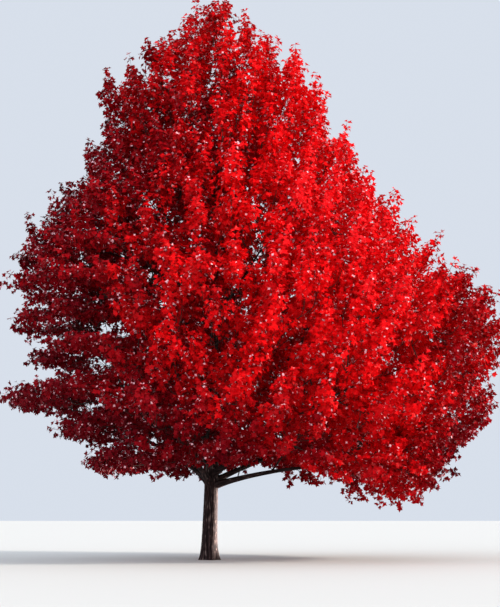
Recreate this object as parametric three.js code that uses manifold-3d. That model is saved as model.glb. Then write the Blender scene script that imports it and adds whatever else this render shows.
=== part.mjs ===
// A red maple in full autumn leaf, 10 m tall, as a scene graph of separate solids.
//
// One trunk runs from a flat cut at ground level to the top of the crown. Boughs leave it in a spiral and
// end where they enter their masses of foliage. Each mass is one solid: a stem that carries on from its
// bough's tip, side twigs, and leaves fused to them. A tree this size bears tens of thousands of leaves, so
// each leaf here is as large as the spray of leaves that it stands for.
//
// Units are millimetres. +Z is up, +X is the right of the tree as seen in the photograph, +Y is away from
// the viewer, and the origin is the centre of the flat cut under the trunk.

import * as THREE from "three";
import { mergeVertices } from "three/addons/utils/BufferGeometryUtils.js";
import Module from "manifold-3d";

const wasm = await Module();
wasm.setup();

// Driving dimensions of the trunk
const HEIGHT = 10050;
const LEADER_TOP = 8350;
const LEADER_TIP_RADIUS = 24;
const TRUNK_RADIUS = 136;
const TAPER_POWER = 0.9;
const TRUNK_LEAN = 250;
const LEAN_POWER = 1.2;
const TRUNK_SWAY = 26;
const SWAYS = 5;
const SWAY_DEPTH = 0.8;
const FLARE = 44;
const FLARE_HEIGHT = 150;
const BUTTRESSES = 5;
const BUTTRESS_SHARE = 0.13;
const BUTTRESS_TURN = 0.6;
const TRUNK_SIDES = 12;
const TRUNK_STEPS = 13;
const STEP_POWER = 1.7;

// The crown's outline, seen from the front: height above the ground, then how far the leaves reach from the
// trunk's axis to the left and to the right
const OUTLINE = [
  [850, 200, 3600],
  [1150, 1500, 4250],
  [1420, 2200, 4600],
  [2100, 2800, 4950],
  [2800, 3750, 5400],
  [4300, 3900, 5450],
  [5000, 4050, 4950],
  [6300, 3300, 3450],
  [7800, 2350, 2250],
  [8600, 2250, 2150],
  [9250, 1100, 1300],
  [9750, 560, 560],
  [HEIGHT, 140, 140],
];
const DEPTH_SHARE = 0.97;

// The underside of the crown: clear bole near the trunk, and a skirt that hangs lower on the right
const CROWN_BASE = 1330;
const SKIRT_DROP = 450;
const SKIRT_FROM = 1500;
const SKIRT_TO = 2700;

// Boughs and masses
const BOUGHS = 26;
const GOLDEN_ANGLE = Math.PI * (3 - Math.sqrt(5));
const FIRST_AZIMUTH = -0.35;
const LOWEST_POLE = 1650;
const HIGHEST_POLE = 9050;
const LOWEST_BOUGH = 1230;
const HIGHEST_BOUGH = 7500;
const FOOT_POWER = 2.3;
const ARCH_LOW = 0.13;
const ARCH_HIGH = -0.1;
const BOUGH_SHARE = 0.4;
const BOUGH_TAPER = 0.5;
const BOUGH_TO_MASS = 0.42;
const BOUGH_SIDES = 5;
const BOUGH_STEPS = 3;
const SITE_SHARE = 0.74;
const BOUGH_LEAST = 4;
const GIRTH_SLICES = 200;
const END_INSIDE_LOW = 0.85;
const END_INSIDE_HIGH = 0.35;
const END_BELOW = 0.5;
const HANG_POWER = 3;
const SWING = 0.06;
const SWING_TURN = 3.1;
const TOP_SITE_SHARE = 0.45;
const TOP_LEAF = 0.545;

// Twigs inside a mass
const SIDE_TWIGS = 7;
const FIRST_TWIG = 0.1;
const LAST_TWIG = 0.8;
const TWIG_ANGLE = 1.0;
const TWIG_LIFT = 0.3;
const TWIG_LENGTH = 1100;
const TWIG_LEAST = 400;
const TWIG_SHORTER = 0.82;
const TWIG_RADIUS = 20;
const TWIG_TIP_RADIUS = 3;
const TWIG_ROOM = 0.45;
const STEM_STEPS = 3;
const STEM_SHARE = 0.9;

// Leaves on a twig: one at its tip and a pair below it
const LEAF_LENGTH = 980;
const LEAF_SPREAD = 0.15;
const LEAF_LOBES = [0.42, 0.41];
const LEAF_SIZES = [1.15, 1, 0.85, 0.72, 0.6, 0.52];
const LEAF_TURNS = [0, 0.5, -0.5];
const LEAF_THICKNESS = 0.03;
const LEAF_MIDDLE = 0.36;
const LEAF_RAISE = 0.5;
const LEAF_TILT = 1.1;
const TIP_SUNK = 60;
const PAIR_SUNK = 3;
const PAIR_AT = 0.55;
const PAIR_STAGGER = 0.06;
const PAIR_ANGLE = 1.25;
const SEED = 8;

// Clearances, and how far a joined surface may be evened out
const GAP = 0.3;
const TRUNK_GAP = 0.33;
const TOP_GAP = 0.8;
const SPACE_MARGIN = 6;
const LIMB_CLEARANCE = 12;
const BOUGH_EVENED = 0.05;
const MASS_EVENED = 0.3;

const UP = new THREE.Vector3(0, 0, 1);
const RIGHT = new THREE.Vector3(1, 0, 0);
const STEEP = 0.9;
const MERGE_WITHIN = 1e-3;

// A seeded stream of numbers from 0 to 1, the same on every run.
function randomStream(seed) {
  let state = seed >>> 0;
  return () => {
    state = (state + 0x6d2b79f5) >>> 0;
    let mixed = Math.imul(state ^ (state >>> 15), 1 | state);
    mixed = (mixed + Math.imul(mixed ^ (mixed >>> 7), 61 | mixed)) ^ mixed;
    return ((mixed ^ (mixed >>> 14)) >>> 0) / 4294967296;
  };
}

function mix(from, to, share) {
  return from + (to - from) * share;
}

function smooth(from, to, value) {
  const share = Math.min(1, Math.max(0, (value - from) / (to - from)));
  return share * share * (3 - 2 * share);
}

// The trunk's axis leans a little to the right and sways as it climbs.
function trunkAxis(z) {
  const share = z / HEIGHT;
  const sway = TRUNK_SWAY * Math.sin(share * SWAYS * Math.PI) * Math.sin(share * Math.PI);
  return new THREE.Vector3(TRUNK_LEAN * share ** LEAN_POWER + sway, sway * SWAY_DEPTH, z);
}

function trunkRadius(z) {
  const stem = mix(TRUNK_RADIUS, LEADER_TIP_RADIUS, (z / LEADER_TOP) ** TAPER_POWER);
  return stem + FLARE * Math.exp(-z / FLARE_HEIGHT);
}

// How far the leaves reach from the trunk's axis in the direction of an azimuth, at a height: the left and
// right reaches of the outline, blended round the tree by the cosine of the azimuth.
function crownReach(azimuth, z) {
  const last = OUTLINE.length - 1;
  if (z <= OUTLINE[0][0] || z >= OUTLINE[last][0]) return 0;
  const upper = OUTLINE.findIndex(([height]) => height > z);
  const [below, above] = [OUTLINE[upper - 1], OUTLINE[upper]];
  const share = (z - below[0]) / (above[0] - below[0]);
  const left = mix(below[1], above[1], share);
  const right = mix(below[2], above[2], share);
  const sideways = Math.abs(Math.cos(azimuth));
  const round = mix(DEPTH_SHARE, 1, sideways);
  return round * mix(left, right, (1 + Math.cos(azimuth)) / 2);
}

// The lowest that leaves hang at a distance from the trunk.
function crownFloor(azimuth, distance) {
  const rightward = Math.max(0, Math.cos(azimuth));
  return CROWN_BASE - SKIRT_DROP * rightward * smooth(SKIRT_FROM, SKIRT_TO, distance);
}

function inCrown(point) {
  const axis = trunkAxis(point.z);
  const across = point.x - axis.x;
  const along = point.y - axis.y;
  const azimuth = Math.atan2(along, across);
  const distance = Math.hypot(across, along);
  return distance < crownReach(azimuth, point.z) && point.z > crownFloor(azimuth, distance);
}

// A path through points, with the direction that it runs in at each of them.
function pathThrough(points) {
  const last = points.length - 1;
  return points.map((point, step) => {
    const before = points[Math.max(0, step - 1)];
    const after = points[Math.min(last, step + 1)];
    return { point, along: after.clone().sub(before).normalize() };
  });
}

// A path along a stretch of a curve.
function curvePath(curve, from, to, steps) {
  return Array.from({ length: steps + 1 }, (_, i) => {
    const share = mix(from, to, i / steps);
    return { point: curve.getPoint(share), along: curve.getTangent(share) };
  });
}

// A tapered limb: a cylinder whose rings are moved to the points of a path, square to it, each with its own
// radius. The section is round unless shape gives a share of the radius for an angle and a step.
function limbGeometry(path, radii, sides, shape = () => 1) {
  const steps = path.length - 1;
  const geometry = new THREE.CylinderGeometry(1, 1, 1, sides, steps);
  const rings = path.map(({ point, along }) => {
    const reference = Math.abs(along.z) > STEEP ? RIGHT : UP;
    const across = reference.clone().addScaledVector(along, -reference.dot(along)).normalize();
    return { point, across, third: across.clone().cross(along) };
  });
  const position = geometry.attributes.position;
  for (let i = 0; i < position.count; i++) {
    const step = Math.round((position.getY(i) + 0.5) * steps);
    const [x, z] = [position.getX(i), position.getZ(i)];
    const radius = radii[step] * shape(Math.atan2(x, z), step);
    const moved = rings[step].point.clone();
    moved.addScaledVector(rings[step].across, x * radius).addScaledVector(rings[step].third, z * radius);
    position.setXYZ(i, moved.x, moved.y, moved.z);
  }
  return geometry;
}

// A leaf's outline through its root and the tips of its three lobes, with a point over and a point under its
// middle, so that its edge is thin and its body has thickness.
function leafGeometry(root, along, normal, length) {
  const [lobeAt, lobeOut] = LEAF_LOBES;
  const outline = [[0, 0], [lobeAt, -lobeOut], [1, 0], [lobeAt, lobeOut]];
  const across = normal.clone().cross(along).normalize();
  const at = (lengthwise, sideways, raised) =>
    root.clone()
      .addScaledVector(along, lengthwise * length)
      .addScaledVector(across, sideways * length)
      .addScaledVector(normal, raised * length);
  const corners = outline.map(([lengthwise, sideways]) => at(lengthwise, sideways, 0));
  const over = corners.length;
  const under = over + 1;
  corners.push(at(LEAF_MIDDLE, 0, LEAF_THICKNESS / 2), at(LEAF_MIDDLE, 0, -LEAF_THICKNESS / 2));
  const faces = outline.flatMap((_, i) => {
    const next = (i + 1) % outline.length;
    return [over, i, next, under, next, i];
  });
  const geometry = new THREE.BufferGeometry().setFromPoints(corners);
  geometry.setIndex(faces);
  return { geometry, corners };
}

function solidOf(geometry) {
  const bare = geometry.clone();
  bare.deleteAttribute("normal");
  bare.deleteAttribute("uv");
  const merged = mergeVertices(bare, MERGE_WITHIN);
  return new wasm.Manifold(
    new wasm.Mesh({
      numProp: 3,
      vertProperties: new Float32Array(merged.attributes.position.array),
      triVerts: new Uint32Array(merged.index.array),
    }),
  );
}

function geometryOf(solid) {
  const { vertProperties, triVerts } = solid.getMesh();
  const geometry = new THREE.BufferGeometry();
  geometry.setAttribute("position", new THREE.BufferAttribute(new Float32Array(vertProperties), 3));
  geometry.setIndex(new THREE.BufferAttribute(new Uint32Array(triVerts), 1));
  return geometry;
}

// The one solid that is left when several are joined. Any loose scrap is dropped, any sealed hollow is
// filled, and points that lie within a distance of the surface without them are taken out.
function fused(solids, evened) {
  const pieces = wasm.Manifold.union(solids).decompose();
  const largest = pieces.sort((a, b) => b.volume() - a.volume())[0];
  return largest.asOriginal().simplify(evened);
}

// The trunk, with every radius grown by extra, which makes the shape that boughs are cut by. Its rings are
// level, so its foot is a flat cut.
function trunkSolid(extra) {
  const heights = Array.from({ length: TRUNK_STEPS + 1 }, (_, i) =>
    LEADER_TOP * (i / TRUNK_STEPS) ** STEP_POWER);
  const path = heights.map((z) => ({ point: trunkAxis(z), along: UP }));
  const radii = heights.map((z) => trunkRadius(z) + extra);
  const roots = (angle, step) => {
    const swelling = BUTTRESS_SHARE * Math.exp(-heights[step] / FLARE_HEIGHT);
    return 1 + swelling * Math.cos(BUTTRESSES * angle + BUTTRESS_TURN);
  };
  return solidOf(limbGeometry(path, radii, TRUNK_SIDES, roots));
}

// Heights of the masses' outer ends, so spaced that each mass has an equal share of the crown's girth.
function poleHeights() {
  const heights = Array.from({ length: GIRTH_SLICES }, (_, i) =>
    mix(LOWEST_POLE, HIGHEST_POLE, (i + 0.5) / GIRTH_SLICES));
  const girths = heights.map((z) => crownReach(0, z) + crownReach(Math.PI, z));
  const total = girths.reduce((sum, girth) => sum + girth, 0);
  return Array.from({ length: BOUGHS }, (_, k) => {
    let passed = 0;
    const wanted = (total * (k + 0.5)) / BOUGHS;
    return heights.find((_, i) => (passed += girths[i]) >= wanted);
  });
}

// A bough and the stem of its mass are one curve, from the trunk's axis to the mass's outer end. Low boughs
// arch over and high ones sweep up.
function boughCurve(azimuth, pole, rank) {
  const climb = (pole - LOWEST_POLE) / (HIGHEST_POLE - LOWEST_POLE);
  const reach = crownReach(azimuth, pole) - LEAF_LENGTH * mix(END_INSIDE_LOW, END_INSIDE_HIGH, climb);
  const outward = new THREE.Vector3(Math.cos(azimuth), Math.sin(azimuth), 0);
  const end = trunkAxis(pole).addScaledVector(outward, reach);
  const hanging = CROWN_BASE - crownFloor(azimuth, reach);
  end.z -= LEAF_LENGTH * END_BELOW * climb + hanging * (1 - climb) ** HANG_POWER;
  const start = trunkAxis(mix(LOWEST_BOUGH, HIGHEST_BOUGH, rank ** FOOT_POWER));
  const middle = start.clone().lerp(end, 0.5);
  middle.z += start.distanceTo(end) * mix(ARCH_LOW, ARCH_HIGH, climb);
  const swing = new THREE.Vector3(-outward.y, outward.x, 0);
  middle.addScaledVector(swing, SWING * reach * Math.sin(SWING_TURN * azimuth + pole));
  return new THREE.QuadraticBezierCurve3(start, middle, end);
}

function boughRadius(curve, share) {
  const base = BOUGH_SHARE * trunkRadius(curve.v0.z) + BOUGH_LEAST;
  return base * mix(1, BOUGH_TAPER, share / BOUGH_TO_MASS);
}

// The bough of a curve, with every radius grown by extra.
function boughSolid(curve, extra) {
  const path = curvePath(curve, 0, BOUGH_TO_MASS, BOUGH_STEPS);
  const radii = path.map((_, i) => boughRadius(curve, (BOUGH_TO_MASS * i) / BOUGH_STEPS) + extra);
  return solidOf(limbGeometry(path, radii, BOUGH_SIDES));
}

// The space that one mass keeps to: all that lies nearest to its own site, in the crown, clear of limbs.
function spaceOf(site, sites, limbs) {
  const others = sites.filter((other) => other !== site);
  const nearest = (point) => others.every((other) => {
    const lead = point.distanceToSquared(other) - point.distanceToSquared(site);
    return lead > 2 * SPACE_MARGIN * other.distanceTo(site);
  });
  return {
    holds: (point) => inCrown(point) && nearest(point),
    free: (solid) => solid.intersect(limbs).isEmpty(),
  };
}

// Something grown in a mass: its solid, and a ball round it that tells quickly what can't touch it.
function grownFrom(geometry) {
  geometry.computeBoundingSphere();
  return { solid: solidOf(geometry), ball: geometry.boundingSphere };
}

function touches(one, other) {
  return one.ball.intersectsSphere(other.ball) && !one.solid.intersect(other.solid).isEmpty();
}

// A leaf in the first size and turn that fit its space without touching anything but its own twig.
function fittedLeaf(root, along, facing, length, space, others) {
  for (const size of LEAF_SIZES) {
    for (const turn of LEAF_TURNS) {
      const turned = facing.clone().applyAxisAngle(along, turn);
      const normal = turned.addScaledVector(along, -turned.dot(along)).normalize();
      const leaf = leafGeometry(root, along, normal, length * size);
      if (!leaf.corners.slice(1).every(space.holds)) continue;
      const grown = grownFrom(leaf.geometry);
      if (space.free(grown.solid) && !others.some((other) => touches(grown, other))) return grown;
    }
  }
  return null;
}

// Side twigs along a stem, each turned by the golden angle from the last and as long as its space allows.
function sideTwigs(stemPath, space, random) {
  const stemCurve = new THREE.CatmullRomCurve3(stemPath.map(({ point }) => point));
  const twigs = [];
  for (let i = 0; i < SIDE_TWIGS; i++) {
    const share = mix(FIRST_TWIG, LAST_TWIG, i / (SIDE_TWIGS - 1));
    const start = stemCurve.getPoint(share);
    const along = stemCurve.getTangent(share);
    const level = along.clone().cross(UP).normalize();
    const sideways = level.applyAxisAngle(along, i * GOLDEN_ANGLE + random());
    const heading = along.clone().multiplyScalar(Math.cos(TWIG_ANGLE))
      .addScaledVector(sideways, Math.sin(TWIG_ANGLE)).addScaledVector(UP, TWIG_LIFT).normalize();
    for (let length = TWIG_LENGTH; length > TWIG_LEAST; length *= TWIG_SHORTER) {
      const end = start.clone().addScaledVector(heading, length);
      const room = end.clone().addScaledVector(heading, LEAF_LENGTH * TWIG_ROOM);
      if (!space.holds(room)) continue;
      const grown = grownFrom(limbGeometry(pathThrough([start, end]), [TWIG_RADIUS, TWIG_TIP_RADIUS], 3));
      if (!space.free(grown.solid)) continue;
      twigs.push({ ...grown, start, end, outward: sideways });
      break;
    }
  }
  return twigs;
}

// The leaves of a twig: one at its tip and one on either side of it.
function twigLeaves(twig, space, others, random) {
  const along = twig.end.clone().sub(twig.start).normalize();
  const tilt = new THREE.Vector3(random() - 0.5, random() - 0.5, random() - 0.5);
  const facing = twig.outward.clone().addScaledVector(UP, LEAF_RAISE).addScaledVector(tilt, LEAF_TILT);
  const across = facing.clone().cross(along).normalize();
  const length = () => LEAF_LENGTH * mix(1 - LEAF_SPREAD, 1 + LEAF_SPREAD, random());
  const leaves = [fittedLeaf(
    twig.end.clone().addScaledVector(along, -TIP_SUNK), along, facing, length(), space, others)];
  for (const side of [-1, 1]) {
    const root = twig.start.clone().lerp(twig.end, PAIR_AT + side * PAIR_STAGGER);
    const leafward = along.clone().multiplyScalar(Math.cos(PAIR_ANGLE))
      .addScaledVector(across, side * Math.sin(PAIR_ANGLE)).normalize();
    root.addScaledVector(leafward, -PAIR_SUNK);
    const before = [...others, ...leaves.filter(Boolean)];
    leaves.push(fittedLeaf(root, leafward, facing, length(), space, before));
  }
  return leaves.filter(Boolean);
}

// The mass of foliage at the end of a limb: a stem, its side twigs, and the leaves that have room on them.
function massSolid(stemPath, stemRadius, space, seed) {
  const random = randomStream(seed);
  const end = stemPath[STEM_STEPS].point;
  const outward = end.clone().sub(trunkAxis(end.z)).setZ(0).normalize();
  const radii = stemPath.map((_, i) => mix(stemRadius, TWIG_TIP_RADIUS, i / STEM_STEPS));
  const stem = grownFrom(limbGeometry(stemPath, radii, 3));
  const leading = { ...stem, start: stemPath[STEM_STEPS - 1].point, end, outward };
  const twigs = [leading, ...sideTwigs(stemPath, space, random)];
  const leaves = [];
  for (const twig of twigs) {
    const others = [...twigs.filter((other) => other !== twig), ...leaves];
    leaves.push(...twigLeaves(twig, space, others, random));
  }
  return fused([...twigs, ...leaves].map(({ solid }) => solid), MASS_EVENED);
}

// A mesh whose own origin is its foot, placed there in the tree.
function placed(name, solid, foot, material) {
  const geometry = geometryOf(solid);
  geometry.translate(-foot.x, -foot.y, -foot.z);
  const mesh = new THREE.Mesh(geometry, material);
  mesh.name = name;
  mesh.position.copy(foot);
  return mesh;
}

const bark = new THREE.MeshStandardMaterial({ color: 0x6b5f57, roughness: 0.95, metalness: 0 });
const youngBark = new THREE.MeshStandardMaterial({ color: 0x5a4a45, roughness: 0.9, metalness: 0 });
const autumnLeaves = [0xa80f16, 0x8c0b16, 0xc4161a, 0x6f0812].map(
  (color) => new THREE.MeshStandardMaterial({ color, roughness: 0.6, metalness: 0 }),
);

const tree = new THREE.Group();
const number = (k) => String(k + 1).padStart(2, "0");

tree.add(placed("trunk", trunkSolid(0), trunkAxis(0), bark));

const curves = poleHeights().map((pole, k) =>
  boughCurve(FIRST_AZIMUTH + k * GOLDEN_ANGLE, pole, (k + 0.5) / BOUGHS));
const trunkWithGap = trunkSolid(TRUNK_GAP);
curves.forEach((curve, k) => {
  const bough = fused([boughSolid(curve, 0).subtract(trunkWithGap)], BOUGH_EVENED);
  tree.add(placed("bough_" + number(k), bough, curve.v0, youngBark));
});

// The site of each mass is a point well out along its stem, and the last one is the crown's tip.
const sites = curves.map((curve) => curve.getPoint(SITE_SHARE));
const crownSite = trunkAxis(mix(LEADER_TOP, HEIGHT, TOP_SITE_SHARE));
sites.push(crownSite);

const thickTrunk = trunkSolid(LIMB_CLEARANCE);
const thickBoughs = curves.map((curve) => boughSolid(curve, LIMB_CLEARANCE));
curves.forEach((curve, k) => {
  const limbs = wasm.Manifold.union([thickTrunk, ...thickBoughs.filter((_, other) => other !== k)]);
  const stem = curvePath(curve, BOUGH_TO_MASS, 1, STEM_STEPS);
  stem[0].point.addScaledVector(stem[0].along, GAP);
  const radius = boughRadius(curve, BOUGH_TO_MASS) * STEM_SHARE;
  const mass = massSolid(stem, radius, spaceOf(sites[k], sites, limbs), SEED + k);
  tree.add(placed("foliage_" + number(k), mass, stem[0].point, autumnLeaves[k % autumnLeaves.length]));
});

// The crown's tip stands on the leader.
const tipPath = pathThrough(Array.from({ length: STEM_STEPS + 1 }, (_, i) =>
  trunkAxis(mix(LEADER_TOP + TOP_GAP, HEIGHT - LEAF_LENGTH * TOP_LEAF, i / STEM_STEPS))));
const tipSpace = spaceOf(crownSite, sites, wasm.Manifold.union(thickBoughs));
const tip = massSolid(tipPath, LEADER_TIP_RADIUS * STEM_SHARE, tipSpace, SEED + BOUGHS);
tree.add(placed("foliage_top", tip, tipPath[0].point, autumnLeaves[2]));

export default tree;
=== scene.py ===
# %% [markdown]
# # A red maple in full autumn colour
#
# A maple of this size is a trunk no thicker than a dinner plate, some two dozen boughs, and a couple of
# hundred thousand leaves. This notebook grows it in the order in which the tree did: trunk, boughs,
# limbs, twigs, leaves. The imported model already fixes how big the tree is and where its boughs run. It
# is loaded first and never moved, and the growth rules below are the ones its solids were made by.

# %% The fixed frame
import math

import bpy
import numpy as np
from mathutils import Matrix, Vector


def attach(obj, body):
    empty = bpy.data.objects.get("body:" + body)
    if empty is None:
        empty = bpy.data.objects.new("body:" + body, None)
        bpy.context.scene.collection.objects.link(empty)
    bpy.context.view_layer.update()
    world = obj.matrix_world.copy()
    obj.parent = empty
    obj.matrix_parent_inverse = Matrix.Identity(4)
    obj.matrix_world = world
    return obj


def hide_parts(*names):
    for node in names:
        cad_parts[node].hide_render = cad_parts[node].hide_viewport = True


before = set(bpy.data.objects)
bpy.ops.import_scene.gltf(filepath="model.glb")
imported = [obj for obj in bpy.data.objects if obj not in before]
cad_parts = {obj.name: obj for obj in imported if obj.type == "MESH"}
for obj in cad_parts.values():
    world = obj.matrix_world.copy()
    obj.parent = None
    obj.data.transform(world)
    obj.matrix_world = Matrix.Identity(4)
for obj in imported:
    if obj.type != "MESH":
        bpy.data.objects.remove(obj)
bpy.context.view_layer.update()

nodes = sorted(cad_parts)
bough_nodes = [node for node in nodes if node.startswith("bough")]
mass_nodes = [node for node in nodes if node.startswith("foliage")]

# %% [markdown]
# ## Small tools for arrays
#
# Every shape below is worked out for all its points at once, as numpy arrays, because a tree repeats
# the same few rules thousands of times. These are the rules' common words: a mixture of two values, a
# soft step, arrows of length one, and turning one arrow round another. All lengths are in metres.

# %% Mixtures and arrows
UP = np.array([0.0, 0.0, 1.0])
FULL_TURN = 2 * math.pi
GOLDEN_ANGLE = math.pi * (3 - math.sqrt(5))
SHORTEST = 1e-9
SIDE_NUDGE = 1e-3
chance = np.random.default_rng(16)


def mix(low, high, share):
    """Goes in a straight line from low at share 0 to high at share 1."""
    return low + (high - low) * share


def smooth(low, high, value):
    """Rises from 0 at low to 1 at high as 3t² - 2t³, level at both ends."""
    t = np.clip((value - low) / (high - low), 0, 1)
    return t * t * (3 - 2 * t)


def unit(arrows):
    """Each arrow divided by its own length."""
    return arrows / np.maximum(np.linalg.norm(arrows, axis=-1, keepdims=True), SHORTEST)


def square_to(arrows, along):
    """What is left of each arrow once its part along another is taken away, at length one."""
    return unit(arrows - along * np.sum(arrows * along, axis=-1, keepdims=True))


def level_side(along):
    """A level arrow square to each: its cross product with up, nudged so that none vanishes."""
    return square_to(np.cross(along, UP) + SIDE_NUDGE, along)


def turned(sideways, along, angle):
    """An arrow square to an axis, turned round it: cosine of itself plus sine of the cross product."""
    angle = np.asarray(angle)[..., None]
    return sideways * np.cos(angle) + np.cross(along, sideways) * np.sin(angle)


def leaning(azimuth, elevation):
    """The arrow of a compass direction and a slope above the level."""
    flat = np.cos(elevation)
    return np.stack([flat * np.cos(azimuth), flat * np.sin(azimuth), np.sin(elevation)], -1)


def evenly_round(count):
    """Angles that share a full turn evenly."""
    return np.arange(count) * FULL_TURN / count


print("a soft step at a quarter:", smooth(0, 1, 0.25))

# %% [markdown]
# ## From arrays to a mesh
#
# A mesh is a list of corners and a list of triangles that name them. `foreach_set` copies both in one
# go, which is what makes a crown of leaves possible in seconds. A round limb is a row of rings carried
# along a path, each ring square to the path, closed by a flat cap at its foot and by a point at its
# end. Thousands of limbs with the same number of rings are made in one call.

# %% Meshes and limbs
STEEP = 0.8


def triangle_mesh(name, corners, triangles, material, rounded, values=None):
    """An object at the origin from corners (n, 3) and triangles (m, 3), with one number a corner if given."""
    mesh = bpy.data.meshes.new(name)
    mesh.vertices.add(len(corners))
    mesh.vertices.foreach_set("co", corners.astype(np.float32).ravel())
    mesh.loops.add(triangles.size)
    mesh.loops.foreach_set("vertex_index", triangles.astype(np.int32).ravel())
    mesh.polygons.add(len(triangles))
    mesh.polygons.foreach_set("loop_start", np.arange(0, triangles.size, 3, dtype=np.int32))
    mesh.polygons.foreach_set("use_smooth", np.full(len(triangles), rounded))
    mesh.update(calc_edges=True)
    if values is not None:
        mesh.attributes.new("relief", "FLOAT", "POINT").data.foreach_set("value", values.astype(np.float32))
    mesh.materials.append(material)
    piece = bpy.data.objects.new(name, mesh)
    bpy.context.scene.collection.objects.link(piece)
    print(name, len(triangles), "triangles")
    return piece


def limb_triangles(rings, sides):
    """Two triangles for each wall square, a fan to the point after the last ring, and a flat cap."""
    ring, side = np.meshgrid(np.arange(rings - 1), np.arange(sides), indexing="ij")
    here = ring * sides + side
    beside = ring * sides + (side + 1) % sides
    wall = np.stack([here, beside, beside + sides, here, beside + sides, here + sides], -1)
    around = np.arange(sides)
    last = (rings - 1) * sides
    point = np.stack([last + around, last + (around + 1) % sides, np.full(sides, rings * sides)], -1)
    between = np.arange(1, sides - 1)
    cap = np.stack([np.zeros_like(between), between + 1, between], -1)
    return np.concatenate([wall.reshape(-1, 3), point, cap])


def repeated(corners, each):
    """The corners of many equal shapes (n, m, 3) as one array, and triangles renumbered for each."""
    triangles = each + np.arange(len(corners))[:, None, None] * corners.shape[1]
    return corners.reshape(-1, 3), triangles.reshape(-1, 3)


def limbs_along(paths, radii, sides):
    """Corners and triangles of round limbs along many paths (n, rings, 3), each ring with its radius."""
    count, rings = radii.shape
    along = unit(np.gradient(paths, axis=1))
    whole = unit(paths[:, -1] - paths[:, 0])
    upright = np.abs(whole[:, 2:]) > STEEP
    reference = np.where(upright, np.array([1.0, 0.0, 0.0]), UP)[:, None]
    across = square_to(reference, along)
    third = np.cross(along, across)
    angle = evenly_round(sides)
    circle = across[:, :, None] * np.cos(angle)[:, None] + third[:, :, None] * np.sin(angle)[:, None]
    walls = paths[:, :, None] + circle * radii[:, :, None, None]
    ends = paths[:, -1] + along[:, -1] * radii[:, -1:]
    corners = np.concatenate([walls.reshape(count, -1, 3), ends[:, None]], 1)
    return repeated(corners, limb_triangles(rings, sides))


def joined(parts):
    """One array of corners and one of triangles from several, with the later triangles renumbered."""
    counts = np.cumsum([0] + [len(corners) for corners, _ in parts[:-1]])
    corners = np.concatenate([corners for corners, _ in parts])
    return corners, np.concatenate([faces + start for (_, faces), start in zip(parts, counts)])


print("a limb of 5 rings and 6 sides:", len(limb_triangles(5, 6)), "triangles")

# %% [markdown]
# ## The plan of the trunk
#
# The trunk leans a little to the right as it climbs and sways in slow bends, which is how a tree
# answers years of wind and of boughs that came and went. It thins almost evenly to the leader, and
# flares where the roots begin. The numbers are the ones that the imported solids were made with.

# %% Trunk axis and radius
HEIGHT = 10.05
LEADER_TOP = 8.35
LEADER_TIP_RADIUS = 0.024
TRUNK_RADIUS = 0.136
TAPER_POWER = 0.9
TRUNK_LEAN = 0.25
LEAN_POWER = 1.2
TRUNK_SWAY = 0.026
SWAYS = 5
SWAY_DEPTH = 0.8
FLARE = 0.044
FLARE_HEIGHT = 0.15


def trunk_axis(z):
    """A lean that grows as a power of the height, plus a sine that fades out at the foot and the top."""
    share = np.asarray(z) / HEIGHT
    sway = TRUNK_SWAY * np.sin(share * SWAYS * math.pi) * np.sin(share * math.pi)
    return np.stack([TRUNK_LEAN * share ** LEAN_POWER + sway, sway * SWAY_DEPTH, share * HEIGHT], -1)


def trunk_radius(z):
    """Nearly a straight taper, plus a flare that dies away as an exponential above the ground."""
    stem = mix(TRUNK_RADIUS, LEADER_TIP_RADIUS, np.clip(z / LEADER_TOP, 0, 1) ** TAPER_POWER)
    return stem + FLARE * np.exp(-z / FLARE_HEIGHT)


print("trunk is", round(2000 * float(trunk_radius(1.0))), "mm thick at 1 m")

# %% [markdown]
# ## The crown's outline
#
# The crown is a broad, rough pyramid, fuller on the right, with a skirt that hangs low there. Its
# outline is a short table: at each height, how far the leaves reach to the left and to the right of
# the trunk. Round the tree the two are blended by the cosine of the compass direction.

# %% Reach and floor of the crown
OUTLINE = np.array([
    [0.85, 0.20, 3.60], [1.15, 1.50, 4.25], [1.42, 2.20, 4.60], [2.10, 2.80, 4.95], [2.80, 3.75, 5.40],
    [4.30, 3.90, 5.45], [5.00, 4.05, 4.95], [6.30, 3.30, 3.45], [7.80, 2.35, 2.25], [8.60, 2.25, 2.15],
    [9.25, 1.10, 1.30], [9.75, 0.56, 0.56], [10.05, 0.14, 0.14],
])
DEPTH_SHARE = 0.97
CROWN_BASE = 1.33
SKIRT_DROP = 0.45
SKIRT_FROM = 1.5
SKIRT_TO = 2.7


def crown_reach(azimuth, z, outline=OUTLINE):
    """Left and right reach at a height, mixed by (1 + cosine) / 2, and a little less front to back."""
    left, right = (np.interp(z, outline[:, 0], outline[:, side], left=0, right=0) for side in (1, 2))
    depth = mix(DEPTH_SHARE, 1, np.abs(np.cos(azimuth)))
    return depth * mix(left, right, (1 + np.cos(azimuth)) / 2)


def crown_floor(azimuth, distance):
    """The lowest leaves at a distance from the trunk: level, but lower out on the right."""
    rightward = np.maximum(0, np.cos(azimuth))
    return CROWN_BASE - SKIRT_DROP * rightward * smooth(SKIRT_FROM, SKIRT_TO, distance)


def round_trunk(points):
    """Compass direction and level distance of each point from the trunk's axis at its height."""
    across = points - trunk_axis(points[..., 2])
    return np.arctan2(across[..., 1], across[..., 0]), np.hypot(across[..., 0], across[..., 1])


def in_crown(points):
    """True where a point is within the reach and above the floor."""
    azimuth, distance = round_trunk(points)
    reached = distance < crown_reach(azimuth, points[..., 2])
    return reached & (points[..., 2] > crown_floor(azimuth, distance))


print("widest reach to the right", OUTLINE[:, 2].max(), "m")

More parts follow.
